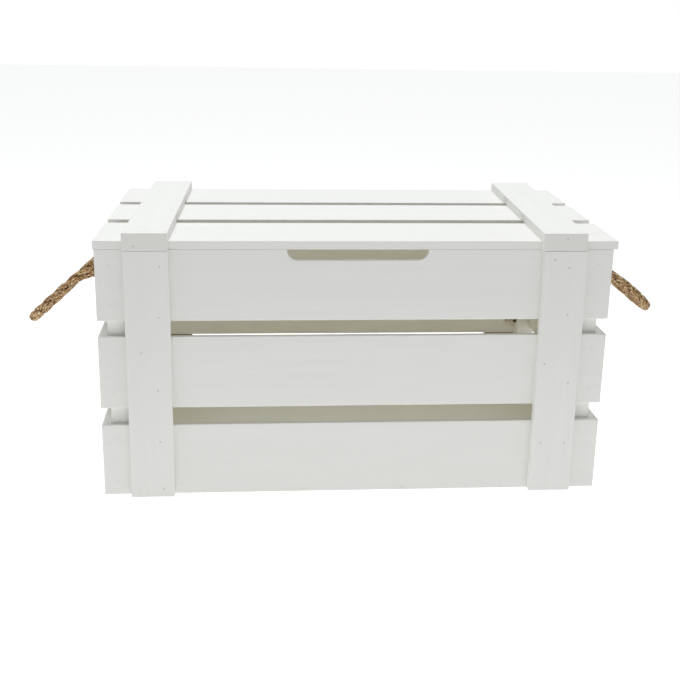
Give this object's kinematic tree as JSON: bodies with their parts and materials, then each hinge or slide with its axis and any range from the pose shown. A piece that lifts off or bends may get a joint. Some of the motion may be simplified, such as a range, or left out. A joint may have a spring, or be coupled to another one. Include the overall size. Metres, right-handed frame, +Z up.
{
  "type": "slatted wooden storage crate",
  "caption": "White-painted slatted wooden crate with a hinged slatted lid, a finger notch in the front and a knotted rope handle at each end.",
  "frame": {"origin": "middle of the crate's footprint on the floor, without the rope handles", "axes": "+X along the crate to its right, +Y to the hinged back, +Z up; the front with the finger notch faces -Y"},
  "size_m": [0.6745, 0.3, 0.2662],
  "materials": {
    "painted_wood": "matte white paint over softwood",
    "painted_nails": "wire nails painted over in matte white",
    "hinge_steel": "zinc-plated steel, satin",
    "jute_rope": "coarse three-strand jute"
  },
  "bodies": {
    "crate": {"front_bottom_slat": "painted_wood", "front_middle_slat": "painted_wood", "front_top_slat": "painted_wood", "back_bottom_slat": "painted_wood", "back_middle_slat": "painted_wood", "back_top_slat": "painted_wood", "left_end_bottom_slat": "painted_wood", "left_end_middle_slat": "painted_wood", "left_end_top_slat": "painted_wood", "right_end_bottom_slat": "painted_wood", "right_end_middle_slat": "painted_wood", "right_end_top_slat": "painted_wood", "front_left_post": "painted_wood", "front_right_post": "painted_wood", "back_left_post": "painted_wood", "back_right_post": "painted_wood", "front_left_batten": "painted_wood", "front_right_batten": "painted_wood", "back_left_batten": "painted_wood", "back_right_batten": "painted_wood", "base_panel": "painted_wood", "front_batten_nails": "painted_nails", "back_batten_nails": "painted_nails", "front_slat_nails": "painted_nails", "back_slat_nails": "painted_nails", "left_end_nails": "painted_nails", "right_end_nails": "painted_nails", "base_nails": "painted_nails", "left_hinge_carcass_leaf": "hinge_steel", "right_hinge_carcass_leaf": "hinge_steel", "left_hinge_pin": "hinge_steel", "right_hinge_pin": "hinge_steel", "hinge_carcass_screws": "hinge_steel", "left_front_rope_end": "jute_rope", "left_rear_rope_end": "jute_rope", "right_front_rope_end": "jute_rope", "right_rear_rope_end": "jute_rope"},
    "lid": {"lid_front_slat": "painted_wood", "lid_middle_slat": "painted_wood", "lid_rear_slat": "painted_wood", "lid_left_batten": "painted_wood", "lid_right_batten": "painted_wood", "lid_left_block": "painted_wood", "lid_right_block": "painted_wood", "lid_batten_nails": "painted_nails", "lid_block_nails": "painted_nails", "left_hinge_lid_leaf": "hinge_steel", "right_hinge_lid_leaf": "hinge_steel", "hinge_lid_screws": "hinge_steel"},
    "left_handle": {"left_rope_loop": "jute_rope"},
    "right_handle": {"right_rope_loop": "jute_rope"}
  },
  "joints": [
    {"name": "lid_hinge", "type": "hinge", "parent": "crate", "child": "lid", "pos_m": [0, 0.145, 0.249], "axis": [-1, 0, 0], "range_deg": [0, 120]},
    {"name": "left_handle_swing", "type": "hinge", "parent": "crate", "child": "left_handle", "pos_m": [-0.2551, 0, 0.205], "axis": [0, 1, 0], "range_deg": [-30, 90], "stiffness_Nm_per_rad": 0.15},
    {"name": "right_handle_swing", "type": "hinge", "parent": "crate", "child": "right_handle", "pos_m": [0.2523, 0, 0.2125], "axis": [0, -1, 0], "range_deg": [-30, 110], "stiffness_Nm_per_rad": 0.15}
  ]
}
